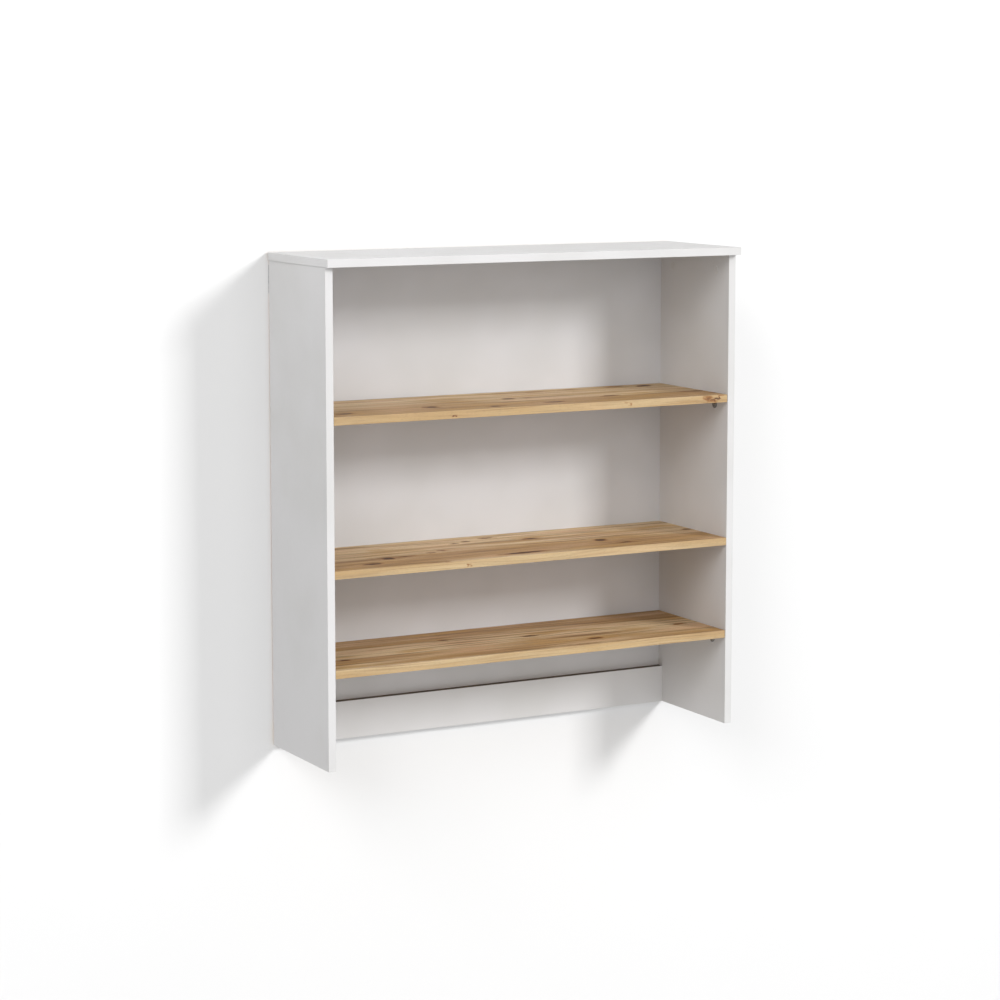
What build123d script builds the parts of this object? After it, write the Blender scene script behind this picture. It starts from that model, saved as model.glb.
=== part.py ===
"""Wall-hung bathroom storage rack: two side panels, an overlapping top, three shelves,
a thin back panel and a rear rail, with the fittings that hold them together.

Millimetres. +X is to the right seen from the front, +Y towards the wall and +Z up.
The origin is on the wall, midway between the two keyhole hanger plates.
"""
import os

from build123d import *

# Overall sizes
HEIGHT = 1000  # lower edges of the sides to the top surface
WIDTH = 930  # over the two side panels
DEPTH = 267  # side panels, front edge band included
TOP_FRONT = 17  # how far the top stands out in front of the sides
TOP_SIDE = 2.5  # and beyond each side
BOARD = 16  # melamine-faced chipboard
BAND = 0.8  # plastic edge band
BAND_ROUND = 0.5
BACK = 3  # hardboard back panel
BACK_GAP = 49  # lower edges of the sides up to the back panel
BACK_INSET = 1  # back panel's edge inside each side's outer face
BACK_TOP = 3  # and below the top surface
RAIL_HEIGHT = 78
HANGER_DROP = 60  # top surface down to the hanger plates' round holes

# Shelves: height of the underside above the lower edges of the sides
UPPER_SHELF = 679
MIDDLE_SHELF = 379
LOWER_SHELF = 183
SHELF_SET_BACK = 1  # front edge behind the sides' front edges
SHELF_PLAY = 1  # round the ends and back of a loose shelf

# Shelf supports: a bent steel plate on a peg
PEG_R = 2.45
PEG_LENGTH = 8
PEG_HOLE_R = 2.5
PEG_HOLE = 10
SUPPORT_WIDTH = 16
SUPPORT_DROP = 17
SUPPORT_REACH = 14
SUPPORT_PLATE = 1.5
SUPPORT_ROUND = 3
PEG_DROP = SUPPORT_DROP - SUPPORT_WIDTH / 2  # shelf's underside down to the pegs
STATION = 50  # supports, cams: from the front or rear edge of the sides
DOWEL_STATION = 82

# Cam fittings, and the wooden dowels beside them
CAM_R = 7.4
CAM_HEIGHT = 12
CAM_SUNK = 0.3
CAM_BORE_R = 7.5
CAM_BORE = 12.5
CAM_BACK = 34  # joint to the cam's centre
CAM_POCKET_R = 3.7
CAM_POCKET = 7.9
CAM_NECK_SLOT = 4.4
CAM_SLOT_OVER = 1  # neck slot cut past the cam's rim
CROSS_LENGTH = 6
CROSS_WIDTH = 1.2
CROSS_DEPTH = 2.5
CAP_R = 8.5
CAP = 1.0
CAP_STUB_R = 1.2
CAP_STUB = 2
CAP_STUB_PLAY = 0.2  # round the stub in the cam's cross slot
# Cam bolt: distance past the joint into the next board, radius
BOLT_PROFILE = (
    (-35.8, 0), (-35.8, 3), (-32, 3), (-32, 1.8), (-26, 1.8), (-26, 2.8),
    (-1.5, 2.8), (-1.5, 3.4), (0, 3.4), (0, 2.4), (11, 2.4), (11, 0),
)
BOLT_PASSAGE_R = 3.9
BOLT_HOLE_R = 2.5
BOLT_HOLE = 11.5
DOWEL_R = 4
DOWEL_HOLE_R = 4.1
DOWEL_INNER = 18.5  # dowel's length on the cam's side of the joint
DOWEL_OUTER = 11.5  # and in the next board
DOWEL_SPARE = 0.5  # hole deeper than the dowel
DOWEL_BEVEL = 0.8
RAIL_CAM_HEIGHT = 30
RAIL_DOWEL_HEIGHT = 62

# Hanger plates and their screws
PLATE = 1.5
PLATE_WIDTH = 15
PLATE_ROUND = 3
PLATE_LOW, PLATE_HIGH = -24, 36  # ends below and above the round hole
KEYHOLE_R = 5
KEYHOLE_SLOT_R = 2.75
KEYHOLE_RISE = 10  # round hole up to where the wall screw ends
POCKET_R = 5.6  # room behind the keyhole for the wall screw's head
POCKET = 8
SCREW_HEIGHTS = (-16, 28)
SCREW_HOLE_R = 2.1
SCREW_HEAD_R = 3.5
# Hanger screw: depth under the plate's rear face, radius
SCREW_PROFILE = ((0.1, 0), (0.1, 3.3), (1.6, 1.8), (1.6, 1.6), (16, 1.6), (18, 0.4), (18, 0))
SCREW_CROSS_LENGTH = 3.4
SCREW_CROSS_WIDTH = 0.7
SCREW_CROSS_DEPTH = 1.1
SCREW_BACK_R = 2.1
SCREW_PILOT_R = 1.75
SCREW_PILOT = 20

# Back panel nails
NAIL_R = 0.6
NAIL_HEAD_R = 1.5
NAIL_HEAD = 0.5
NAIL_LENGTH = 15.5
NAIL_HOLE_R = 0.7
NAIL_HOLE = 16
NAIL_END = 90  # outermost nail in a level row, from the side's inner face
NAIL_LOWEST = 30  # lowest nail in an upright row, above the back panel's lower edge
NAIL_HIGHEST = 20  # and its highest one, below the hanger plates
LEVEL_NAILS = 6
UPRIGHT_NAILS = 7

# Planes that the boards share
HALF = WIDTH / 2
INNER = HALF - BOARD  # inner faces of the side panels
BACK_REAR = -PLATE
REAR = BACK_REAR - BACK  # rear edges of the side panels
FRONT = REAR - DEPTH
BASE = HANGER_DROP - HEIGHT  # lower edges of the side panels
TOP_UNDER = HANGER_DROP - BOARD
BACK_BOTTOM = BASE + BACK_GAP
RAIL_FRONT = REAR - BOARD
RAIL_TOP = BASE + RAIL_HEIGHT
SHELF_FRONT = FRONT + SHELF_SET_BACK

FORWARD = Axis((0, 0, 0), (0, -1, 0))
DOWNWARD = Axis((0, 0, 0), (0, 0, -1))
SIDES = {"left": -1, "right": 1}

os.makedirs("parts", exist_ok=True)


def save(piece, label):
    """Name a finished piece and write it to its own file."""
    piece.part.label = label
    export_step(piece.part, f"parts/{label}.step")


def between(low, high):
    """A length and the middle of it, for the stretch from low to high."""
    return abs(high - low), (low + high) / 2


def board(label, x, y, z, holes=(), windows=()):
    """A rectangular board between pairs of limits.

    holes holds (planes, radius, depth), drilled down each plane's normal. windows holds
    planes at whose upright slots the board is cut away, and the depth of that cut.
    """
    (width, mid_x), (depth, mid_y) = between(*x), between(*y)
    with BuildPart() as piece:
        with BuildSketch(Plane((mid_x, mid_y, z[0]))):
            Rectangle(width, depth)
        extrude(amount=z[1] - z[0])
        for planes, radius, hole_depth in holes:
            with Locations(*planes):
                Hole(radius, hole_depth)
        for plane, cut in windows:
            with BuildSketch(plane):
                with Locations((0, KEYHOLE_RISE / 2)):
                    SlotCenterToCenter(KEYHOLE_RISE, 2 * POCKET_R, rotation=90)
            extrude(amount=-cut, mode=Mode.SUBTRACT)
    save(piece, label)


def edge_band(label, x, y, z, outward, along):
    """A plastic strip between pairs of limits, its two outer long edges rounded."""
    (width, mid_x), (depth, mid_y) = between(*x), between(*y)
    with BuildPart() as piece:
        with BuildSketch(Plane((mid_x, mid_y, min(z)))):
            Rectangle(width, depth)
        extrude(amount=abs(z[1] - z[0]))
        outer_face = piece.faces().sort_by(outward)[-1]
        fillet(outer_face.edges().filter_by(along), BAND_ROUND)
    save(piece, label)


# Where the fittings go -------------------------------------------------------------

FRONT_STATION, REAR_STATION = FRONT + STATION, REAR - STATION
STATIONS = (FRONT_STATION, REAR_STATION)
DOWEL_STATIONS = (FRONT + DOWEL_STATION, REAR - DOWEL_STATION)


def top_ends(side, stations):
    """Joint planes at a side panel's upper end: normal up into the top panel."""
    x = side * (HALF - BOARD / 2)
    return [Plane((x, y, TOP_UNDER), x_dir=(-side, 0, 0), z_dir=(0, 0, 1)) for y in stations]


def shelf_ends(side, stations):
    """Joint planes at the fixed shelf's end: normal out into the side panel."""
    z = BASE + MIDDLE_SHELF + BOARD / 2
    return [Plane((side * INNER, y, z), x_dir=(0, 0, -1), z_dir=(side, 0, 0)) for y in stations]


def rail_ends(side, height):
    """Joint plane at the rail's end: normal out into the side panel."""
    centre = (side * INNER, REAR - BOARD / 2, BASE + height)
    return [Plane(centre, x_dir=(0, 1, 0), z_dir=(side, 0, 0))]


def both_sides(ends, *where):
    """The joint planes that a function gives for the left and the right."""
    return [plane for side in SIDES.values() for plane in ends(side, *where)]


def cam_face(end):
    """Plane on the board's face over the cam that holds this end, x towards the joint."""
    centre = end.origin - end.z_dir * CAM_BACK + end.x_dir * (BOARD / 2)
    return Plane(centre, x_dir=end.z_dir, z_dir=end.x_dir)


def holding_holes(bolt_ends, dowel_ends):
    """Holes in the board that carries the cams: cam bores, bolt passages and dowels."""
    return [
        ([cam_face(end) for end in bolt_ends], CAM_BORE_R, CAM_BORE),
        (bolt_ends, BOLT_PASSAGE_R, CAM_BACK),
        (dowel_ends, DOWEL_HOLE_R, DOWEL_INNER + DOWEL_SPARE),
    ]


def receiving_holes(bolt_ends, dowel_ends):
    """Holes in the board that the bolts are screwed into."""
    return [
        ([-end for end in bolt_ends], BOLT_HOLE_R, BOLT_HOLE),
        ([-end for end in dowel_ends], DOWEL_HOLE_R, DOWEL_OUTER + DOWEL_SPARE),
    ]


def support_planes(side, height):
    """Planes on a side panel's inner face at a loose shelf's underside, y up, normal inward."""
    return [
        Plane((side * INNER, y, BASE + height), x_dir=(0, -side, 0), z_dir=(-side, 0, 0))
        for y in STATIONS
    ]


def peg_holes(side):
    """Planes of the peg holes in one side panel, for both loose shelves."""
    return [
        Plane(plane.origin - Vector(0, 0, PEG_DROP), x_dir=plane.x_dir, z_dir=plane.z_dir)
        for height in (UPPER_SHELF, LOWER_SHELF)
        for plane in support_planes(side, height)
    ]


def rear_planes(points, y=BACK_REAR):
    """Planes facing the wall at points (x, z)."""
    return [Plane((px, y, pz), x_dir=(-1, 0, 0), z_dir=(0, 1, 0)) for px, pz in points]


def evenly(low, high, count):
    """Evenly spaced values, both ends included."""
    return [low + (high - low) * step / (count - 1) for step in range(count)]


def side_x(side):
    """Middle of a side panel's thickness."""
    return side * (HALF - BOARD / 2)


LEVEL_X = evenly(NAIL_END - INNER, INNER - NAIL_END, LEVEL_NAILS)
UPRIGHT_Z = evenly(BACK_BOTTOM + NAIL_LOWEST, PLATE_LOW - NAIL_HIGHEST, UPRIGHT_NAILS)
SIDE_NAILS = {side: [(side_x(side), z) for z in UPRIGHT_Z] for side in SIDES.values()}
TOP_NAILS = [(x, HANGER_DROP - BOARD / 2) for x in LEVEL_X]
SHELF_NAILS = [(x, BASE + MIDDLE_SHELF + BOARD / 2) for x in LEVEL_X]
RAIL_NAILS = [(x, (BACK_BOTTOM + RAIL_TOP) / 2) for x in LEVEL_X]
ALL_NAILS = SIDE_NAILS[-1] + SIDE_NAILS[1] + TOP_NAILS + SHELF_NAILS + RAIL_NAILS
SCREWS = [(side_x(side), z) for side in SIDES.values() for z in SCREW_HEIGHTS]


def nail_holes(points):
    """Nail holes in a board, from the rear face of the back panel inwards."""
    return [(rear_planes(points), NAIL_HOLE_R, NAIL_HOLE)]


# Boards ------------------------------------------------------------------------------

TOP_HALF = HALF + TOP_SIDE
TOP_EDGE = FRONT - TOP_FRONT
top_bolts, top_dowels = both_sides(top_ends, STATIONS), both_sides(top_ends, DOWEL_STATIONS)
board(
    "top_panel",
    (BAND - TOP_HALF, TOP_HALF - BAND), (TOP_EDGE + BAND, REAR), (TOP_UNDER, HANGER_DROP),
    holes=receiving_holes(top_bolts, top_dowels) + nail_holes(TOP_NAILS),
)
top_z = (TOP_UNDER, HANGER_DROP)
edge_band("top_band_front", (-TOP_HALF, TOP_HALF), (TOP_EDGE, TOP_EDGE + BAND), top_z,
          FORWARD, Axis.X)
for name, side in SIDES.items():
    outward = Axis((0, 0, 0), (side, 0, 0))
    edge_band(f"top_band_{name}", (side * (TOP_HALF - BAND), side * TOP_HALF),
              (TOP_EDGE + BAND, REAR), top_z, outward, Axis.Y)

for name, side in SIDES.items():
    x = sorted((side * INNER, side * HALF))
    board(
        f"side_panel_{name}",
        x, (FRONT + BAND, REAR), (BASE + BAND, TOP_UNDER),
        holes=holding_holes(top_ends(side, STATIONS), top_ends(side, DOWEL_STATIONS))
        + receiving_holes(shelf_ends(side, STATIONS), shelf_ends(side, DOWEL_STATIONS))
        + receiving_holes(rail_ends(side, RAIL_CAM_HEIGHT), rail_ends(side, RAIL_DOWEL_HEIGHT))
        + [(peg_holes(side), PEG_HOLE_R, PEG_HOLE)]
        + nail_holes(SIDE_NAILS[side])
        + [(rear_planes([(side_x(side), z) for z in SCREW_HEIGHTS], REAR),
            SCREW_PILOT_R, SCREW_PILOT)],
        windows=[(rear_planes([(side_x(side), 0)], REAR)[0], POCKET)],
    )
    edge_band(f"side_band_front_{name}", x, (FRONT, FRONT + BAND), (BASE, TOP_UNDER),
              FORWARD, Axis.Z)
    edge_band(f"side_band_bottom_{name}", x, (FRONT + BAND, REAR), (BASE, BASE + BAND),
              DOWNWARD, Axis.Y)

shelf_bolts, shelf_dowels = both_sides(shelf_ends, STATIONS), both_sides(shelf_ends, DOWEL_STATIONS)
LOOSE, FIXED = SHELF_PLAY, 0
for name, height, play, holes in (
    ("upper", UPPER_SHELF, LOOSE, []),
    ("middle", MIDDLE_SHELF, FIXED,
     holding_holes(shelf_bolts, shelf_dowels) + nail_holes(SHELF_NAILS)),
    ("lower", LOWER_SHELF, LOOSE, []),
):
    x = (play - INNER, INNER - play)
    z = (BASE + height, BASE + height + BOARD)
    board(f"shelf_{name}", x, (SHELF_FRONT + BAND, REAR - play), z, holes=holes)
    edge_band(f"shelf_band_{name}", x, (SHELF_FRONT, SHELF_FRONT + BAND), z, FORWARD, Axis.X)

rail_bolts = both_sides(rail_ends, RAIL_CAM_HEIGHT)
rail_dowels = both_sides(rail_ends, RAIL_DOWEL_HEIGHT)
board(
    "rear_rail",
    (-INNER, INNER), (RAIL_FRONT, REAR), (BASE + BAND, RAIL_TOP),
    holes=holding_holes(rail_bolts, rail_dowels) + nail_holes(RAIL_NAILS),
)
edge_band("rail_band_bottom", (-INNER, INNER), (RAIL_FRONT, REAR), (BASE, BASE + BAND),
          DOWNWARD, Axis.X)

back_x = (BACK_INSET - HALF, HALF - BACK_INSET)
board(
    "back_panel",
    back_x, (REAR, BACK_REAR), (BACK_BOTTOM, HANGER_DROP - BACK_TOP),
    holes=nail_holes(ALL_NAILS) + [(rear_planes(SCREWS), SCREW_BACK_R, BACK)],
    windows=[(plane, BACK) for plane in rear_planes([(side_x(s), 0) for s in SIDES.values()])],
)

# Fittings ----------------------------------------------------------------------------


def cam_housings(label, ends):
    """Turning cams: a notched drum with a cross slot in its face."""
    with BuildPart() as piece:
        for end in ends:
            face = cam_face(end).offset(-CAM_SUNK)
            with BuildSketch(face):
                Circle(CAM_R)
            extrude(amount=-CAM_HEIGHT)
            with BuildSketch(face.offset(-CAM_HEIGHT)):
                Circle(CAM_POCKET_R)
                with Locations((CAM_R / 2, 0)):
                    Rectangle(CAM_R + CAM_SLOT_OVER, CAM_NECK_SLOT)
            extrude(amount=CAM_POCKET, mode=Mode.SUBTRACT)
            with BuildSketch(face):
                Rectangle(CROSS_LENGTH, CROSS_WIDTH)
                Rectangle(CROSS_WIDTH, CROSS_LENGTH)
                Circle(CAP_STUB_R + CAP_STUB_PLAY)
            extrude(amount=-CROSS_DEPTH, mode=Mode.SUBTRACT)
    save(piece, label)


def cam_bolts(label, ends):
    """Headed bolts, each screwed into one board and caught by a cam in the other."""
    with BuildPart() as piece:
        for end in ends:
            with BuildSketch(Plane(end.origin, x_dir=end.z_dir, z_dir=end.x_dir)):
                with BuildLine():
                    Polyline(*BOLT_PROFILE, close=True)
                make_face()
            revolve(axis=Axis(end.origin, end.z_dir))
    save(piece, label)


def dowels(label, ends):
    """Wooden dowels with bevelled ends."""
    with BuildPart() as piece:
        for end in ends:
            with BuildSketch(end.offset(-DOWEL_INNER)):
                Circle(DOWEL_R)
            extrude(amount=DOWEL_INNER + DOWEL_OUTER)
        chamfer(piece.edges().filter_by(GeomType.CIRCLE), DOWEL_BEVEL)
    save(piece, label)


def cam_caps(label, ends):
    """Plastic covers over the cams."""
    with BuildPart() as piece:
        for end in ends:
            face = cam_face(end)
            with BuildSketch(face):
                Circle(CAP_R)
            extrude(amount=CAP)
            outer_face = piece.faces(Select.LAST).sort_by(Axis(face.origin, face.z_dir))[-1]
            fillet(outer_face.edges(), CAP / 2)
            with BuildSketch(face):
                Circle(CAP_STUB_R)
            extrude(amount=-CAP_STUB)
    save(piece, label)


def shelf_supports(label, height):
    """Bent plates under a loose shelf: a rounded leg on a peg, and a flange."""
    with BuildPart() as piece:
        for plane in both_sides(support_planes, height):
            with BuildSketch(plane):
                with Locations((0, -PEG_DROP / 2)):
                    Rectangle(SUPPORT_WIDTH, PEG_DROP)
                with Locations((0, -PEG_DROP)):
                    Circle(SUPPORT_WIDTH / 2)
            extrude(amount=SUPPORT_PLATE)
            with BuildSketch(Plane(plane.origin, x_dir=plane.x_dir, z_dir=plane.y_dir)) as flange:
                with Locations((0, -SUPPORT_REACH / 2)):
                    Rectangle(SUPPORT_WIDTH, SUPPORT_REACH)
                fillet(flange.vertices().group_by(Axis.Y)[0], SUPPORT_ROUND)
            extrude(amount=-SUPPORT_PLATE)
            with BuildSketch(plane):
                with Locations((0, -PEG_DROP)):
                    Circle(PEG_R)
            extrude(amount=-PEG_LENGTH)
    save(piece, label)


for joint, bolt_ends, dowel_ends in (
    ("top", top_bolts, top_dowels),
    ("shelf", shelf_bolts, shelf_dowels),
    ("rail", rail_bolts, rail_dowels),
):
    cam_housings(f"{joint}_cams", bolt_ends)
    cam_bolts(f"{joint}_cam_bolts", bolt_ends)
    dowels(f"{joint}_dowels", dowel_ends)
cam_caps("top_cam_caps", top_bolts)
cam_caps("shelf_cam_caps", shelf_bolts)
shelf_supports("supports_upper", UPPER_SHELF)
shelf_supports("supports_lower", LOWER_SHELF)

with BuildPart() as back_nails:
    for plane in rear_planes(ALL_NAILS):
        with BuildSketch(plane):
            Circle(NAIL_HEAD_R)
        extrude(amount=NAIL_HEAD)
        with BuildSketch(plane):
            Circle(NAIL_R)
        extrude(amount=-NAIL_LENGTH)
save(back_nails, "back_nails")

for name, side in SIDES.items():
    wall = Plane((side_x(side), 0, 0), x_dir=(-1, 0, 0), z_dir=(0, 1, 0))
    length, middle = between(PLATE_LOW, PLATE_HIGH)
    with BuildPart() as hanger_plate:
        with BuildSketch(wall) as outline:
            with Locations((0, middle)):
                Rectangle(PLATE_WIDTH, length)
            fillet(outline.vertices(), PLATE_ROUND)
            Circle(KEYHOLE_R, mode=Mode.SUBTRACT)
            with Locations((0, KEYHOLE_RISE / 2)):
                SlotCenterToCenter(KEYHOLE_RISE, 2 * KEYHOLE_SLOT_R, rotation=90,
                                   mode=Mode.SUBTRACT)
        extrude(amount=-PLATE)
        with Locations(*rear_planes([(side_x(side), z) for z in SCREW_HEIGHTS], 0)):
            CounterSinkHole(SCREW_HOLE_R, SCREW_HEAD_R, PLATE, counter_sink_angle=90)
    save(hanger_plate, f"hanger_plate_{name}")

with BuildPart() as hanger_screws:
    for plane in rear_planes(SCREWS, 0):
        with BuildSketch(Plane(plane.origin, x_dir=-plane.z_dir, z_dir=(1, 0, 0))):
            with BuildLine():
                Polyline(*SCREW_PROFILE, close=True)
            make_face()
        revolve(axis=Axis(plane.origin, plane.z_dir))
        with BuildSketch(plane):
            Rectangle(SCREW_CROSS_LENGTH, SCREW_CROSS_WIDTH)
            Rectangle(SCREW_CROSS_WIDTH, SCREW_CROSS_LENGTH)
        extrude(amount=-SCREW_CROSS_DEPTH, mode=Mode.SUBTRACT)
save(hanger_screws, "hanger_screws")
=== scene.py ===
"""Looks of the wall-hung bathroom rack: boards, edge bands and fittings, stage, lights and camera.

Metres, in the part's own frame: the wall is the plane y = 0, +X is right, +Z is up.
"""
import math
from functools import partial

import bmesh
import bpy
from mathutils import Euler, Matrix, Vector


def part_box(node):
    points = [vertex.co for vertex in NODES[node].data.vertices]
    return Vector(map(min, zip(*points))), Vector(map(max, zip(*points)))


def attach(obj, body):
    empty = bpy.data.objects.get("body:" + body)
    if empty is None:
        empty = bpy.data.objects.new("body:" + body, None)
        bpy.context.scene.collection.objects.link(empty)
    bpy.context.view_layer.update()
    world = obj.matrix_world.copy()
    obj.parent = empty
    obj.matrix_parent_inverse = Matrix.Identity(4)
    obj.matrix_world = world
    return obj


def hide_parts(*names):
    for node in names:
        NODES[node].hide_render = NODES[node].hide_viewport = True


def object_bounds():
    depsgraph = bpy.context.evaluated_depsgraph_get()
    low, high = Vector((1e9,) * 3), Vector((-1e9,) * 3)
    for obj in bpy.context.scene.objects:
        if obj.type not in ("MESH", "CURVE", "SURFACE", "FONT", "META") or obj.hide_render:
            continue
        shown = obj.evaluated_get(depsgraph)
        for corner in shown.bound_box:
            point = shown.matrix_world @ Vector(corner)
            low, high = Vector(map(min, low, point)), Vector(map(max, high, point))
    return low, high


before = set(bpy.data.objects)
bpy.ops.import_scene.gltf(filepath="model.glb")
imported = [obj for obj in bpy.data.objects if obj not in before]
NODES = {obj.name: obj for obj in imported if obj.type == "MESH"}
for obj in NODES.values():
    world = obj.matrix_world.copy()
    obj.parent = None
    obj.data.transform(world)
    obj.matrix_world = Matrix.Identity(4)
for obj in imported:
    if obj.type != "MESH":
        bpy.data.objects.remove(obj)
CAD_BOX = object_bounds()
X, Y, Z = 0, 1, 2
MM = 0.001


def srgb(red, green, blue):
    """Linear colour from 0 to 255 sRGB values."""
    def linear(value):
        share = value / 255
        return share / 12.92 if share <= 0.04045 else ((share + 0.055) / 1.055) ** 2.4
    return linear(red), linear(green), linear(blue), 1.0


# Shader graphs ---------------------------------------------------------------------------


class Graph:
    """Short ways to add nodes to one material. Lengths inside a graph are millimetres."""

    def __init__(self, name):
        self.material = bpy.data.materials.new(name)
        self.material.use_nodes = True
        self.nodes = self.material.node_tree.nodes
        self.links = self.material.node_tree.links
        self.nodes.clear()
        coordinates = self.nodes.new("ShaderNodeTexCoord")
        self.place = self.vector("MULTIPLY", coordinates.outputs["Object"], (1 / MM,) * 3)
        split = self.add("ShaderNodeSeparateXYZ", Vector=self.place)
        self.axes = [split.outputs[axis] for axis in "XYZ"]

    def add(self, kind, settings=(), **inputs):
        """A node of one kind, with its settings, and its inputs set or linked by name."""
        node = self.nodes.new(kind)
        for key, value in dict(settings).items():
            setattr(node, key, value)
        for key, value in inputs.items():
            self.feed(node.inputs[key.replace("_", " ")], value)
        return node

    def feed(self, socket, value):
        """Link a socket, or set a constant on it."""
        if isinstance(value, bpy.types.NodeSocket):
            self.links.new(value, socket)
        else:
            socket.default_value = value

    def maths(self, operation, first, second=0.0, clamp=False):
        """One sum on two numbers."""
        node = self.add("ShaderNodeMath", {"operation": operation, "use_clamp": clamp})
        self.feed(node.inputs[0], first)
        self.feed(node.inputs[1], second)
        return node.outputs[0]

    def vector(self, operation, first, second):
        """One sum on two vectors."""
        node = self.add("ShaderNodeVectorMath", {"operation": operation})
        self.feed(node.inputs[0], first)
        self.feed(node.inputs[1], second)
        return node.outputs["Value" if operation in ("LENGTH", "DISTANCE") else "Vector"]

    def join(self, x, y, z=0.0):
        """A vector from its three parts."""
        return self.add("ShaderNodeCombineXYZ", X=x, Y=y, Z=z).outputs[0]

    def noise(self, place, size=1.0, detail=3.0, roughness=0.5, distortion=0.0):
        """Noise from about 0 to 1, with features of the given size."""
        node = self.add("ShaderNodeTexNoise", Vector=place, Scale=1 / size, Detail=detail,
                        Roughness=roughness, Distortion=distortion)
        return node.outputs["Fac"]

    def cells(self, place, size, feature="F1", output="Distance"):
        """Voronoi cells of the given size: distance to the middle or edge, or a colour each."""
        return self.add("ShaderNodeTexVoronoi", {"feature": feature},
                        Vector=place, Scale=1 / size).outputs[output]

    def ease(self, value, low, high, out_low=0.0, out_high=1.0):
        """Smooth step from out_low at low to out_high at high."""
        return self.add("ShaderNodeMapRange", {"interpolation_type": "SMOOTHSTEP"}, Value=value,
                        From_Min=low, From_Max=high, To_Min=out_low, To_Max=out_high).outputs[0]

    def blend(self, share, first, second):
        """Mix of two colours."""
        node = self.add("ShaderNodeMix", {"data_type": "RGBA"})
        self.feed(node.inputs["Factor"], share)
        self.feed(node.inputs[6], first)
        self.feed(node.inputs[7], second)
        return node.outputs[2]

    def bump(self, height, depth, below=None):
        """Normal from a height of 0 to 1 that stands for a depth in millimetres."""
        node = self.add("ShaderNodeBump", Height=height, Strength=1.0, Distance=depth * MM)
        if below is not None:
            self.links.new(below, node.inputs["Normal"])
        return node.outputs[0]

    def surface(self, colour, roughness, normal, **constants):
        """Principled shader. Its constants are set on its own sockets."""
        shader = self.add("ShaderNodeBsdfPrincipled", Roughness=roughness, Normal=normal,
                          Base_Color=colour, **constants)
        self.add("ShaderNodeOutputMaterial", Surface=shader.outputs[0])
        return self.material


def limits(node, axis):
    """Lowest and highest place of a CAD node along an axis, in millimetres."""
    low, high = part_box(node)
    return low[axis] / MM, high[axis] / MM


def stretched(graph, factors):
    """The place scaled along each axis, so that what a texture draws is drawn out."""
    return graph.vector("MULTIPLY", graph.place, factors)


# Finishes: each returns colour, roughness and the normal that goes with them ----------------

WHITE, WHITE_DULL = srgb(211, 210, 210), srgb(206, 205, 204)
LACQUER, LACQUER_DULL = srgb(206, 206, 208), srgb(201, 201, 202)
# The second colour here is painted shade: the dark grey of the rail's bare top edge in the shade under
# the lower shelf.
GLUE, RAIL_EDGE_SHADE = srgb(196, 188, 174), srgb(92, 87, 84)
CHIP_LIGHT, CHIP_DARK, CHIP_BARK, CHIP_GAP = (
    srgb(208, 182, 142), srgb(160, 126, 86), srgb(96, 66, 42), srgb(66, 46, 30))
OAK_PALE, OAK_TAN, OAK_ROSE, OAK_GOLD = (
    srgb(228, 204, 165), srgb(180, 143, 97), srgb(212, 172, 132), srgb(198, 155, 91))
OAK_EDGE, OAK_EDGE_TAN = srgb(194, 170, 130), srgb(178, 148, 104)
OAK_GRAIN, OAK_PORE = srgb(126, 92, 56), srgb(86, 58, 34)
KNOT_RIM, KNOT_CORE = srgb(138, 88, 36), srgb(60, 34, 10)
BROWN, BROWN_DARK = srgb(170, 128, 90), srgb(132, 94, 62)

CHIP_FLAT = 0.34  # how far chips are drawn out along the board, against their thickness
CHIP_COARSE, CHIP_FINE = 1.35, 0.6  # thickness of the core's chips and the faces' chips


def chipboard(graph, axis, offset, half):
    """Bare chipboard edge: flat chips pressed across axis, coarse in the core, fine at the faces."""
    outer = graph.ease(graph.maths("DIVIDE", offset, half), 0.45, 0.75)
    bend = graph.ease(graph.noise(graph.place, 2.6, detail=4), 0.2, 0.8, -1.7, 1.7)
    factors = [CHIP_FLAT] * 3
    factors[axis] = 1.0
    laid = graph.vector("ADD", stretched(graph, factors), graph.join(bend, bend, bend))
    coarse = graph.cells(laid, CHIP_COARSE, output="Color")
    fine = graph.cells(laid, CHIP_FINE, output="Color")
    shade = graph.add("ShaderNodeSeparateColor", Color=graph.blend(outer, coarse, fine))
    colour = graph.blend(shade.outputs[0], CHIP_DARK, CHIP_LIGHT)
    bark = graph.ease(shade.outputs[1], 0.91, 0.94)
    colour = graph.blend(bark, colour, CHIP_BARK)
    gap = graph.ease(graph.cells(laid, CHIP_COARSE, feature="DISTANCE_TO_EDGE"), 0.0, 0.07, 0.6, 0.0)
    gap = graph.maths("MULTIPLY", gap, graph.maths("SUBTRACT", 1.0, outer))
    colour = graph.blend(gap, colour, CHIP_GAP)
    height = graph.maths("ADD", shade.outputs[2], graph.noise(graph.place, 0.5))
    return colour, 0.85, graph.bump(height, 0.35)


def melamine(graph, bright=WHITE, dull=WHITE_DULL):
    """White decor paper: faint clouding, a fine pearl grain and handling marks in the gloss."""
    clouds = graph.noise(graph.place, 190, detail=2)
    colour = graph.blend(graph.ease(clouds, 0.35, 0.65), bright, dull)
    marks = graph.ease(graph.noise(graph.place, 55, detail=4, distortion=0.6), 0.55, 0.72, 0.0, 0.09)
    roughness = graph.maths("ADD", marks, graph.ease(graph.noise(graph.place, 9), 0.3, 0.7, 0.40, 0.47))
    pearl = graph.bump(graph.noise(graph.place, 0.55, detail=2), 0.018)
    return colour, roughness, graph.bump(graph.noise(graph.place, 7, detail=1), 0.05, pearl)


OAK_GLOSS = 0.15
STAVE, SEAM = 84.0, 1.6  # width of the strips that the decor shows, and of the dark line between them
KNOT_REACH = 3.5  # how far a knot disturbs the grain, in its own radii
KNOT_PUSH = 0.6  # how far it pushes the grain aside, as a share of its half width
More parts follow.
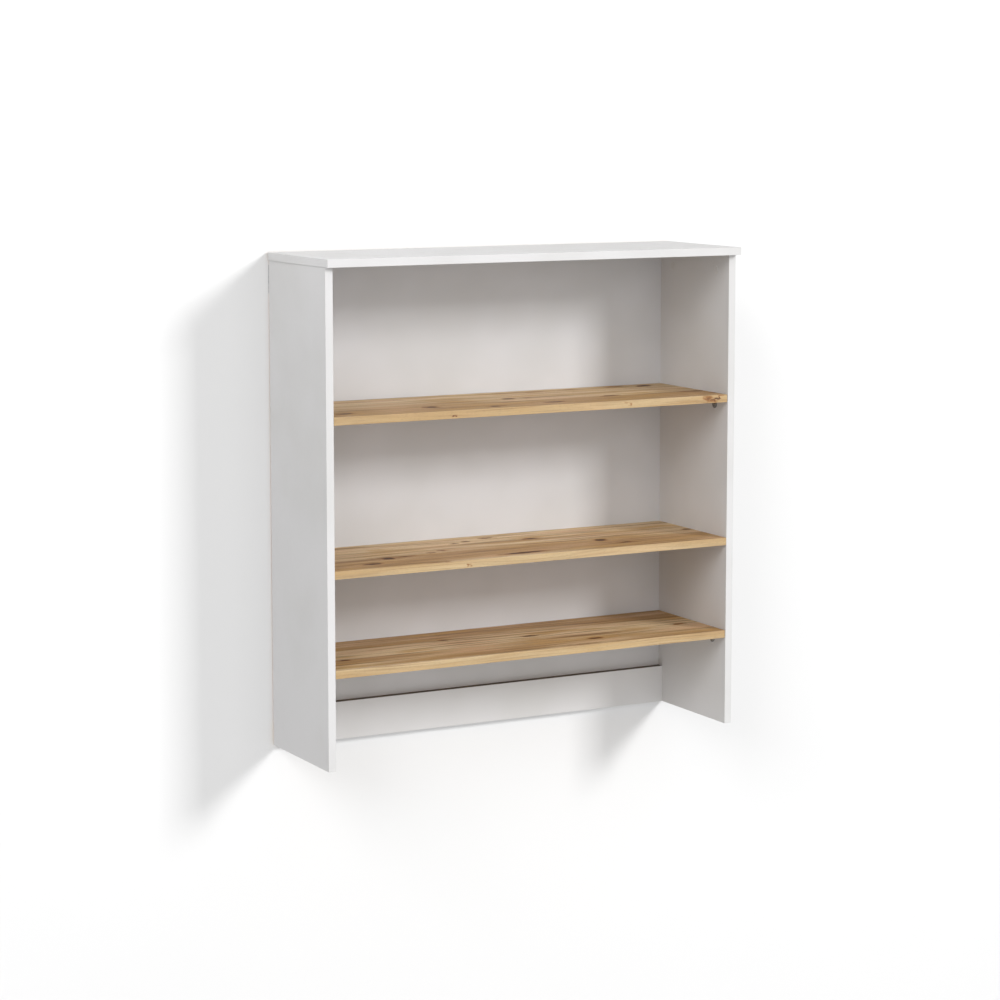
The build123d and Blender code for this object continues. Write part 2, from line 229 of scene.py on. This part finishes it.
# Darker grain: length, width, detail, which noise, where it starts and ends, share on faces and bands
GRAIN_LINES = ((260, 10.0, 3, 5.0, 0.5, 0.7, 0.75, 0.25), (240, 2.6, 4, 7.0, 0.5, 0.76, 0.6, 0.6),
               (60, 0.8, 2, 11.0, 0.5, 0.8, 0.45, 0.45))


def knots_in(graph, place, knots):
    """How near each point is to a knot, 0 to 1, and how far the knots push the grain aside."""
    near, pushed = 0.0, 0.0
    for x, y, half_length, half_width, turn, strength in knots:
        local = graph.add("ShaderNodeMapping", {"vector_type": "TEXTURE"}, Vector=place,
                          Location=(x, y, 0.0), Rotation=(0.0, 0.0, math.radians(turn)),
                          Scale=(half_length, half_width, 1.0)).outputs[0]
        away = graph.vector("LENGTH", local, (0.0, 0.0, 0.0))
        near = graph.maths("MAXIMUM", near, graph.ease(away, 0.2, 1.5, strength, 0.0))
        aside = graph.add("ShaderNodeSeparateXYZ", Vector=local).outputs["Y"]
        push = graph.ease(away, 0.0, KNOT_REACH, half_width * KNOT_PUSH, 0.0)
        pushed = graph.maths("ADD", pushed, graph.maths("MULTIPLY", aside, push))
    return near, pushed


def oak(graph, shelf, pale):
    """Oak decor: staves with grain along X that bends round knots, streaks, pores and clouding.

    The pattern runs on from a shelf's top over its front edge, and pale is the edge band's tone.
    """
    x, y, z = graph.axes
    along = graph.maths("ADD", x, shelf["seed"])
    across = graph.maths("ADD", y, graph.maths("SUBTRACT", z, limits(shelf["board"], Z)[1]))
    raw = graph.join(along, across)
    jitter = graph.noise(graph.vector("MULTIPLY", raw, (1 / 16, 1 / 6, 1)), detail=3)
    offset = graph.join(graph.ease(jitter, 0.2, 0.8, -9.0, 9.0),
                        graph.ease(jitter, 0.2, 0.8, 1.6, -1.6))
    near, pushed = knots_in(graph, graph.vector("ADD", graph.join(x, across), offset), shelf["knots"])
    flow = graph.noise(graph.vector("MULTIPLY", raw, (1 / 520, 1 / 95, 1)), detail=1)
    ripple = graph.noise(graph.vector("MULTIPLY", raw, (1 / 210, 1 / 30, 1)), detail=1)
    bent = graph.maths("SUBTRACT", across, pushed)
    bent = graph.maths("ADD", bent, graph.maths("MULTIPLY", flow, 30.0))
    bent = graph.maths("ADD", bent, graph.maths("MULTIPLY", ripple, 3.0))

    def streaks(length, width, detail=3.0, shift=0.0):
        laid = graph.join(graph.maths("DIVIDE", along, length),
                          graph.maths("DIVIDE", bent, width), shift)
        return graph.noise(laid, detail=detail)

    sway = graph.noise(graph.join(graph.maths("DIVIDE", along, 400.0), 0.0))
    sway = graph.maths("MULTIPLY", sway, 16.0)
    stave = graph.maths("DIVIDE", graph.maths("ADD", across, sway), STAVE)
    lot = graph.add("ShaderNodeTexWhiteNoise", {"noise_dimensions": "2D"},
                    Vector=graph.join(graph.maths("FLOOR", stave), shelf["seed"])).outputs["Value"]
    edge = graph.maths("ABSOLUTE", graph.maths("SUBTRACT", graph.maths("FRACT", stave), 0.5))
    seam = graph.ease(edge, 0.5 - SEAM / STAVE, 0.5)

    light, tan = (OAK_EDGE, OAK_EDGE_TAN) if pale else (OAK_PALE, OAK_TAN)
    tone = graph.maths("ADD", graph.maths("MULTIPLY", lot, 0.3),
                       graph.maths("MULTIPLY", streaks(480, 24, 3), 0.85))
    colour = graph.blend(graph.ease(tone, 0.42, 0.7), light, tan)
    tint = 0.2 if pale else 0.8
    clouds = graph.maths("ADD", graph.maths("MULTIPLY", streaks(170, 42, 2, 3.0), 0.62),
                         graph.maths("MULTIPLY", streaks(230, 5, 3, 9.0), 0.38))
    colour = graph.blend(graph.ease(clouds, 0.49, 0.66, 0.0, tint), colour, OAK_ROSE)
    colour = graph.blend(graph.ease(clouds, 0.36, 0.51, tint, 0.0), colour, OAK_GOLD)
    for length, width, detail, shift, start, end, on_face, on_band in GRAIN_LINES:
        line = graph.ease(streaks(length, width, detail, shift), start, end, 0.0,
                          on_band if pale else on_face)
        colour = graph.blend(line, colour, OAK_GRAIN)
    pores = graph.ease(streaks(9, 0.42, 1, 17.0), 0.63, 0.7)
    colour = graph.blend(graph.maths("MULTIPLY", pores, 0.45), colour, OAK_PORE)
    dark = graph.maths("MULTIPLY", graph.ease(streaks(170, 4.5, 3, 23.0), 0.62, 0.74),
                       graph.ease(streaks(300, 50, 1, 29.0), 0.52, 0.64))
    colour = graph.blend(graph.maths("MULTIPLY", dark, 0.3 if pale else 0.85), colour, OAK_PORE)
    if not pale:
        colour = graph.blend(graph.maths("MULTIPLY", seam, 0.45), colour, OAK_PORE)
    colour = graph.blend(graph.ease(near, 0.04, 0.55, 0.0, 0.9), colour, KNOT_RIM)
    colour = graph.blend(graph.ease(near, 0.5, 0.9), colour, KNOT_CORE)
    roughness = graph.ease(streaks(90, 2.0, 3, 31.0), 0.3, 0.7, 0.46, 0.58)
    relief = graph.maths("SUBTRACT", graph.maths("MULTIPLY", streaks(40, 0.8, 3, 37.0), 0.4), pores)
    return colour, roughness, graph.bump(relief, 0.06)


def finish_board(node, axis, skin, rear_chips=True, painted_shade=0.0, **shader):
    """Material of a cut board: its decor on the two faces across axis, bare chipboard elsewhere.

    rear_chips breaks the decor out along the saw cut at the rear, and the argument after it paints
    shade on the bare edge, greying it in patches.
    """
    graph = Graph(f"{node}_finish")
    low, high = limits(node, axis)
    half = (high - low) / 2
    offset = graph.maths("ABSOLUTE", graph.maths("SUBTRACT", graph.axes[axis], (low + high) / 2))
    faced = graph.maths("GREATER_THAN", offset, half - 0.1)
    if rear_chips:
        from_rear = graph.maths("SUBTRACT", limits(node, Y)[1], graph.axes[Y])
        worn = graph.maths("GREATER_THAN", graph.noise(graph.place, 1.1),
                           graph.ease(from_rear, 0.0, 0.5, 0.66, 1.0))
        faced = graph.maths("SUBTRACT", faced, worn, clamp=True)
    bare_colour, bare_roughness, bare_normal = chipboard(graph, axis, offset, half)
    # Painted shade: the bare edge greyed in patches towards a dark grey.
    edge_shade = graph.ease(graph.noise(graph.place, 14, detail=4), 0.3, 0.6, painted_shade, min(1.0, painted_shade * 1.2))
    bare_colour = graph.blend(edge_shade, bare_colour, RAIL_EDGE_SHADE)
    colour, roughness, normal = skin(graph)
    return graph.surface(
        graph.blend(faced, bare_colour, colour),
        graph.maths("ADD", graph.maths("MULTIPLY", graph.maths("SUBTRACT", 1.0, faced), bare_roughness),
                    graph.maths("MULTIPLY", faced, roughness)),
        mixed_normal(graph, faced, bare_normal, normal), **shader,
    )


def mixed_normal(graph, share, first, second):
    """First normal where share is 0, second where it is 1."""
    node = graph.add("ShaderNodeMix", {"data_type": "VECTOR"})
    graph.feed(node.inputs["Factor"], share)
    graph.feed(node.inputs[4], first)
    graph.feed(node.inputs[5], second)
    return graph.vector("NORMALIZE", node.outputs[1], (0.0, 0.0, 0.0))


def finish_band(node, axis, glue_high, skin):
    """Material of an edge band: its decor, a glue line along the board, and polished corners."""
    graph = Graph(f"{node}_finish")
    low, high = limits(node, axis)
    place = graph.axes[axis]
    from_board = (graph.maths("SUBTRACT", high, place) if glue_high
                  else graph.maths("SUBTRACT", place, low))
    colour, roughness, normal = skin(graph)
    thick = high - low
    colour = graph.blend(graph.ease(from_board, 0.02, 0.16, 0.75, 0.0), colour, GLUE)
    polished = graph.ease(from_board, thick * 0.45, thick * 0.95, 0.0, 0.1)
    return graph.surface(colour, graph.maths("SUBTRACT", roughness, polished), normal, IOR=1.52)


SCREEN_PITCH = 1.1  # of the screen that the hardboard was pressed on


def finish_back(node):
    """Hardboard back panel: lacquered in front and on its edges, bare with a screen pattern behind."""
    graph = Graph(f"{node}_finish")
    colour, roughness, normal = melamine(graph, LACQUER, LACQUER_DULL)
    behind = graph.maths("GREATER_THAN", graph.axes[Y], limits(node, Y)[1] - 0.05)
    fibres = graph.noise(stretched(graph, (0.9, 1.0, 0.35)), 1.2, detail=5, distortion=0.7)
    blotches = graph.noise(graph.place, 60, detail=3)
    bare = graph.blend(graph.ease(fibres, 0.3, 0.7), BROWN_DARK, BROWN)
    bare = graph.blend(graph.ease(blotches, 0.4, 0.7, 0.0, 0.35), bare, BROWN_DARK)
    weave = [graph.maths("SINE", graph.maths("MULTIPLY", graph.axes[axis], math.pi / SCREEN_PITCH))
             for axis in (X, Z)]
    screen = graph.maths("MULTIPLY", weave[0], weave[1])
    rough = graph.bump(graph.maths("ADD", graph.maths("MULTIPLY", screen, 0.5), fibres), 0.3)
    return graph.surface(
        graph.blend(behind, colour, bare),
        graph.maths("MAXIMUM", roughness, graph.maths("MULTIPLY", behind, 0.85)),
        mixed_normal(graph, behind, normal, rough),
    )


def metal(name, bright, dull, smooth, rough, grain=(1.0, 1.0, 1.0), depth=0.01):
    """Metal with a grain, dull patches and fine scratches."""
    graph = Graph(name)
    laid = stretched(graph, grain)
    patches = graph.noise(graph.place, 4.5, detail=3)
    fine = graph.noise(laid, 0.35, detail=4)
    colour = graph.blend(graph.ease(patches, 0.35, 0.7), bright, dull)
    roughness = graph.ease(graph.maths("ADD", graph.maths("MULTIPLY", fine, 0.5),
                                       graph.maths("MULTIPLY", patches, 0.5)), 0.3, 0.7, smooth, rough)
    return graph.surface(colour, roughness, graph.bump(fine, depth), Metallic=1.0)


def plastic(name, bright, dull, smooth=0.36, rough=0.5):
    """Moulded plastic with a fine spark-eroded texture."""
    graph = Graph(name)
    colour = graph.blend(graph.ease(graph.noise(graph.place, 6), 0.35, 0.65), bright, dull)
    roughness = graph.ease(graph.noise(graph.place, 1.5), 0.3, 0.7, smooth, rough)
    eroded = graph.bump(graph.noise(graph.place, 0.3, detail=2), 0.015)
    return graph.surface(colour, roughness, eroded, IOR=1.5)


def beech(name, grain):
    """Beech with fine dark flecks along the grain."""
    graph = Graph(name)
    fibres = graph.noise(stretched(graph, grain), 0.8, detail=4)
    flecks = graph.ease(graph.noise(stretched(graph, grain), 0.35, detail=1), 0.62, 0.7, 0.0, 0.7)
    colour = graph.blend(graph.ease(fibres, 0.3, 0.7), srgb(222, 186, 146), srgb(204, 162, 120))
    colour = graph.blend(flecks, colour, srgb(150, 104, 70))
    return graph.surface(colour, graph.ease(fibres, 0.3, 0.7, 0.6, 0.75), graph.bump(fibres, 0.05))


def dress(node, material):
    """Give a CAD node one material."""
    NODES[node].data.materials.clear()
    NODES[node].data.materials.append(material)


# Which finish goes where -----------------------------------------------------------------

# Knots: place along X and from the wall (past the front edge, down the band), half length, half
# width, turn in degrees and strength. A weak knot is only a brown mark.
SHELVES = {
    "upper": {"board": "shelf_upper", "seed": 0.0, "knots": [
        (386, -37, 24, 13, 20, 1.0), (7, -130, 17, 11, 0, 0.97), (-199, -194, 18, 14, 0, 1.0),
        (-78, -239, 18, 9, 0, 0.95), (221, -176, 26, 9, 10, 0.76), (402, -182, 20, 8, 0, 0.5),
        (-402, -222, 20, 11, 0, 1.0), (120, -40, 30, 8, 0, 0.42), (-189, -281.5, 3.5, 2.4, 0, 1.0),
        (66, -226, 26, 9, 0, 0.88), (-20, -185, 26, 5, 4, 0.5), (432, -178, 14, 9, 0, 0.8),
        (316, -28, 24, 8, 0, 0.64), (50, -131, 14, 7, 0, 0.62), (201, -34, 22, 7, 0, 0.58),
        (436, -227, 14, 8, 0, 0.66), (403, -277, 11, 7, -20, 0.7), (422, -277.5, 13, 2.8, 32, 0.95),
        (211, -278, 6, 4, 0, 0.45),
    ]},
    "middle": {"board": "shelf_middle", "seed": 1730.0, "knots": [
        (-289, -177, 15, 14, 0, 1.0), (-248, -172, 26, 6, 6, 0.74), (-344, -224, 20, 10, 0, 1.0),
        (-149, -141, 11, 6, 0, 0.8), (-179, -156, 9, 6, 0, 0.72), (-89, -73, 10, 7, 0, 0.8),
        (-54, -61, 10, 7, 0, 0.8), (5, -40, 18, 7, 0, 0.9), (83, -89, 20, 10, 0, 0.82),
        (202, -174, 16, 14, 0, 1.0), (-14, -241, 56, 9, 3, 1.0), (-219, -266, 34, 4, 0, 0.6),
        # The mark at (437, -133) on the next line is not known to be a knot: it only darkens the decor
        # near the shelf's right end.
        (238, -221, 20, 8, 0, 0.9), (437, -133, 12, 9, 0, 0.85), (-154, -281, 5, 3, 30, 0.62),
    ]},
    "lower": {"board": "shelf_lower", "seed": 4090.0, "knots": [
        (58, -132, 18, 8, 0, 0.9), (-389, -182, 18, 7, 0, 0.8), (166, -217, 20, 8, 0, 0.85),
        (112, -260, 52, 3.6, 0, 0.62), (401, -165, 24, 8, 10, 0.6), (-120, -90, 16, 6, 0, 0.8),
    ]},
}

for side in ("left", "right"):
    dress(f"side_panel_{side}", finish_board(f"side_panel_{side}", X, melamine))
    dress(f"side_band_front_{side}", finish_band(f"side_band_front_{side}", Y, True, melamine))
    dress(f"side_band_bottom_{side}", finish_band(f"side_band_bottom_{side}", Z, True, melamine))
    dress(f"top_band_{side}", finish_band(f"top_band_{side}", X, side == "left", melamine))
dress("top_panel", finish_board("top_panel", Z, melamine))
dress("top_band_front", finish_band("top_band_front", Y, True, melamine))
# The rail's bare top edge gets painted shade, standing for the shade under the lower shelf.
dress("rear_rail", finish_board("rear_rail", Y, melamine, rear_chips=False, painted_shade=0.8))
dress("rail_band_bottom", finish_band("rail_band_bottom", Z, True, melamine))
dress("back_panel", finish_back("back_panel"))
for place, shelf in SHELVES.items():
    face, edge = partial(oak, shelf=shelf, pale=False), partial(oak, shelf=shelf, pale=True)
    dress(f"shelf_{place}", finish_board(f"shelf_{place}", Z, face, Specular_IOR_Level=OAK_GLOSS))
    dress(f"shelf_band_{place}", finish_band(f"shelf_band_{place}", Y, True, edge))

nickel = metal("nickel_plate", srgb(158, 154, 148), srgb(118, 114, 108), 0.16, 0.3,
               (1.0, 1.0, 0.3), 0.006)
zinc = metal("cast_zinc", srgb(178, 180, 184), srgb(140, 142, 147), 0.34, 0.55, depth=0.03)
bolt_steel = metal("bolt_steel", srgb(196, 198, 202), srgb(158, 160, 166), 0.22, 0.42)
nail_steel = metal("nail_steel", srgb(168, 168, 170), srgb(120, 120, 122), 0.3, 0.5)
hanger_steel = metal("hanger_steel", srgb(204, 205, 208), srgb(170, 171, 174), 0.24, 0.42,
                     (1.0, 1.0, 0.15))
white_cap = plastic("white_cap", srgb(212, 210, 209), srgb(206, 204, 202))
brown_cap = plastic("brown_cap", srgb(158, 120, 80), srgb(144, 108, 70))
for joint in ("top", "shelf", "rail"):
    dress(f"{joint}_cams", zinc)
    dress(f"{joint}_cam_bolts", bolt_steel)
dress("top_dowels", beech("beech_upright", (1.0, 1.0, 0.12)))
level_beech = beech("beech_level", (0.12, 1.0, 1.0))
dress("shelf_dowels", level_beech)
dress("rail_dowels", level_beech)
dress("top_cam_caps", white_cap)
dress("shelf_cam_caps", brown_cap)
dress("back_nails", nail_steel)
dress("hanger_plate_left", hanger_steel)
dress("hanger_plate_right", hanger_steel)
dress("hanger_screws", bolt_steel)

# Shelf supports: a pressed plate riveted to a peg, four under each loose shelf --------------------

PLATE = 1.5
BEND = 1.7  # radius of the middle of the plate where the leg turns into the flange
SUPPORT_WIDTH = 16.0
REACH = 14.0  # flange, from the panel to its tip
FLANGE_ROUND = 3.0
PEG_LENGTH = 8.0
RIB_HEIGHT, RIB_INSET, RIB_SPREAD = 0.6, 2.9, 0.95  # pressed rib that follows the leg's outline
RIB_FADE = (-6.5, -3.6)  # where the rib runs out, below the shelf
PLATE_EDGE, PEG_EDGE = 0.3, 0.08  # bevels
ROUND_STEPS, LEG_STEPS, BEND_STEPS, FLANGE_STEPS, COLUMNS = 12, 10, 6, 4, 28
# Peg and rivet head: radius, and distance from the panel's face into the room
PEG_PROFILE = ((0, -8.0), (1.9, -8.0), (2.4, -7.4), (2.4, 0.2), (2.4, 1.4), (3.3, 1.45), (3.3, 1.75),
               (3.0, 2.05), (2.2, 2.25), (1.1, 2.33), (0, 2.35))


def steps(low, high, count):
    """Values from low to high in equal steps, without low."""
    return [low + (high - low) * step / count for step in range(1, count + 1)]


def plate_rows(drop, reach, half):
    """Rows across the plate, from the leg's round end up, through the bend and out to the tip.

    Each is its distance from the panel, its height from the shelf, its half width and which way
    its outer face looks.
    """
    middle, centre = PLATE / 2, half - drop
    rows = []
    for turn in steps(0, math.pi / 2, ROUND_STEPS):
        rows.append((middle, centre - half * math.cos(turn), half * math.sin(turn), (1, 0)))
    for height in steps(centre, -middle - BEND, LEG_STEPS):
        rows.append((middle, height, half, (1, 0)))
    for turn in steps(0, math.pi / 2, BEND_STEPS):
        away, lift = BEND * (1 - math.cos(turn)), BEND * math.sin(turn)
        rows.append((middle + away, lift - middle - BEND, half, (math.cos(turn), -math.sin(turn))))
    for away in steps(middle + BEND, reach - FLANGE_ROUND, FLANGE_STEPS):
        rows.append((away, -middle, half, (0, -1)))
    for turn in steps(0, math.pi / 2, FLANGE_STEPS):
        away = reach - FLANGE_ROUND * (1 - math.sin(turn))
        rows.append((away, -middle, half - FLANGE_ROUND * (1 - math.cos(turn)), (0, -1)))
    return rows


def rib(y, height, drop, half):
    """How far the rib stands out at a place on the leg."""
    centre = half - drop
    from_middle = math.hypot(y, height - centre) if height < centre else abs(y)
    full, gone = RIB_FADE
    fade = min(1.0, max(0.0, (gone - height) / (gone - full)))
    return RIB_HEIGHT * fade * math.exp(-((half - from_middle - RIB_INSET) / RIB_SPREAD) ** 2)


def add_plate(mesh, place, drop, reach, half):
    """Middle surface of one bent plate."""
    grid = []
    for away, height, half_width, (out, up) in plate_rows(drop, reach, half):
        row = []
        for column in range(COLUMNS + 1):
            y = half_width * (2 * column / COLUMNS - 1)
            raised = rib(y, height, drop, half)
            row.append(mesh.verts.new(place(away + out * raised, y, height + up * raised)))
        grid.append(row)
    for low, high in zip(grid, grid[1:]):
        for column in range(COLUMNS):
            mesh.faces.new((low[column], low[column + 1], high[column + 1], high[column]))


def add_peg(mesh, place, centre):
    """One peg with its rivet head, turned about its own axis."""
    turns = [2 * math.pi * step / COLUMNS for step in range(COLUMNS)]
    rings = []
    for radius, away in PEG_PROFILE:
        angles = turns if radius else turns[:1]
        rings.append([mesh.verts.new(place(away, radius * math.cos(a), centre + radius * math.sin(a)))
                      for a in angles])
    for low, high in zip(rings, rings[1:]):
        for step in range(COLUMNS):
            corners = [low[step % len(low)], low[(step + 1) % len(low)],
                       high[(step + 1) % len(high)], high[step % len(high)]]
            mesh.faces.new(list(dict.fromkeys(corners)))


def piece_from(mesh, name, node, material):
    """Object from a bmesh that stands for a CAD node on the fixed cabinet."""
    bmesh.ops.recalc_face_normals(mesh, faces=mesh.faces)
    data = bpy.data.meshes.new(name)
    mesh.to_mesh(data)
    mesh.free()
    data.shade_smooth()
    data.materials.append(material)
    piece = bpy.data.objects.new(name, data)
    bpy.context.scene.collection.objects.link(piece)
    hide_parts(node)
    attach(piece, "cabinet")
    return piece


def supports(level):
    """Plates and pegs of the four supports at one level, where the CAD model has them."""
    node = f"supports_{level}"
    (low_x, high_x), (low_y, high_y), (low_z, high_z) = (limits(node, axis) for axis in (X, Y, Z))
    inner = high_x - PEG_LENGTH
    drop = high_z - low_z
    half = SUPPORT_WIDTH / 2
    plates, pegs = bmesh.new(), bmesh.new()
    for side in (-1, 1):
        for y_middle in (low_y + half, high_y - half):
            def place(away, y, height, side=side, y_middle=y_middle):
                return Vector((side * (inner - away), y_middle + y, high_z + height)) * MM
            add_plate(plates, place, drop, REACH, half)
            add_peg(pegs, place, half - drop)
    plate = piece_from(plates, f"support_plates_{level}", node, nickel)
    thick = plate.modifiers.new("thickness", "SOLIDIFY")
    thick.thickness, thick.offset, thick.use_even_offset = PLATE * MM, 0.0, True
    edges = plate.modifiers.new("edges", "BEVEL")
    edges.width, edges.segments, edges.harden_normals = PLATE_EDGE * MM, 2, True
    peg = piece_from(pegs, f"support_pegs_{level}", node, nickel)
    crisp = peg.modifiers.new("edges", "BEVEL")
    crisp.width, crisp.segments, crisp.harden_normals = PEG_EDGE * MM, 1, True


for level in ("upper", "lower"):
    supports(level)

# Stage, lights and camera ------------------------------------------------------------------

FLOOR_DROP = 1.05  # lower edges of the sides down to the floor
STAGE = 16.0  # side of the floor
PAINT_DULL = 0.985  # the paint's duller patches, against the rest
RACK_LOW, RACK_HIGH = CAD_BOX
TARGET = (RACK_LOW + RACK_HIGH) / 2


def plain(name, colour, one_sided=False):
    """Matt paint for the stage. A one-sided surface is clear from behind."""
    graph = Graph(name)
    mottle = graph.noise(graph.place, 400, detail=2)
    dull = [part * PAINT_DULL for part in colour]
    shader = graph.add("ShaderNodeBsdfDiffuse", Color=graph.blend(mottle, colour, dull)).outputs[0]
    if one_sided:
        back = graph.add("ShaderNodeNewGeometry").outputs["Backfacing"]
        clear = graph.add("ShaderNodeBsdfTransparent")
        mix = graph.add("ShaderNodeMixShader", Fac=back)
        graph.feed(mix.inputs[1], shader)
        graph.feed(mix.inputs[2], clear.outputs[0])
        shader = mix.outputs[0]
    graph.add("ShaderNodeOutputMaterial", Surface=shader)
    return graph.material


def stage_plane(name, corners, material):
    """One flat part of the stage."""
    mesh = bpy.data.meshes.new(name)
    mesh.from_pydata(corners, [], [tuple(range(len(corners)))])
    mesh.materials.append(material)
    plane = bpy.data.objects.new(name, mesh)
    bpy.context.scene.collection.objects.link(plane)
    return plane


floor_z = RACK_LOW.z - FLOOR_DROP
half = STAGE / 2
floor = stage_plane("floor", [(-half, -half, floor_z), (half, -half, floor_z),
                              (half, half, floor_z), (-half, half, floor_z)],
                    plain("floor_paint", srgb(236, 235, 233)))
wall = stage_plane("wall", [(-half, 0, floor_z), (half, 0, floor_z), (half, 0, half), (-half, 0, half)],
                   plain("wall_paint", (0.82, 0.82, 0.82, 1.0), one_sided=True))
wall.visible_diffuse = wall.visible_shadow = False
floor.visible_diffuse = False

LIGHT_DISTANCE = 12.0  # metres from the middle of the rack
HORIZON = 0.2  # half the height of the change from ground to sky, as a share of a unit direction


def softbox(name, azimuth, elevation, spread, strength):
    """Square area light facing the rack: spread is its angular width, strength what it gives there."""
    turn, rise = math.radians(azimuth), math.radians(elevation)
    back = Vector((math.sin(turn) * math.cos(rise), -math.cos(turn) * math.cos(rise), math.sin(rise)))
    light = bpy.data.lights.new(name, "AREA")
    light.size = 2 * LIGHT_DISTANCE * math.tan(math.radians(spread / 2))
    light.energy = strength * math.pi * LIGHT_DISTANCE ** 2
    lamp = bpy.data.objects.new(name, light)
    lamp.location = TARGET + back * LIGHT_DISTANCE
    lamp.rotation_euler = back.to_track_quat("Z", "Y").to_euler()
    bpy.context.scene.collection.objects.link(lamp)


def studio(sky, ground):
    """Even light from all round, weaker from below the horizon."""
    world = bpy.data.worlds.new("studio")
    world.use_nodes = True
    nodes, links = world.node_tree.nodes, world.node_tree.links
    direction = nodes.new("ShaderNodeTexCoord")
    split = nodes.new("ShaderNodeSeparateXYZ")
    strength = nodes.new("ShaderNodeMapRange")
    strength.interpolation_type = "SMOOTHSTEP"
    for key, limit in (("From Min", -HORIZON), ("From Max", HORIZON),
                       ("To Min", ground), ("To Max", sky)):
        strength.inputs[key].default_value = limit
    links.new(direction.outputs["Generated"], split.inputs["Vector"])
    links.new(split.outputs["Z"], strength.inputs["Value"])
    links.new(strength.outputs[0], nodes["Background"].inputs["Strength"])
    nodes["Background"].inputs["Color"].default_value = (1.0, 1.0, 1.0, 1.0)
    bpy.context.scene.world = world


softbox("key", 34.0, 24.0, 13.0, 1.76)
softbox("fill_left", -53.0, 30.0, 26.0, 0.96)
softbox("fill_middle", -35.0, 20.0, 30.0, 0.33)
softbox("fill_front", 0.0, 8.0, 30.0, 0.44)
softbox("rear", 180.0, 12.0, 30.0, 1.6)
studio(0.47, 0.63)

CAMERA_PLACE = (-2.6965, -5.1325, 0.3662)
CAMERA_TURN, CAMERA_DIP = 28.232, 7.181  # degrees to the right and down
CAMERA_LENS, CAMERA_SHIFT = 100.87, -0.05
camera_data = bpy.data.cameras.new("camera")
camera_data.lens = CAMERA_LENS
camera_data.shift_y = CAMERA_SHIFT
camera = bpy.data.objects.new("camera", camera_data)
camera.location = CAMERA_PLACE
camera.rotation_euler = Euler((math.radians(90 - CAMERA_DIP), 0, math.radians(-CAMERA_TURN)))
bpy.context.scene.collection.objects.link(camera)
bpy.context.scene.camera = camera
bpy.context.scene.view_settings.view_transform = "Standard"
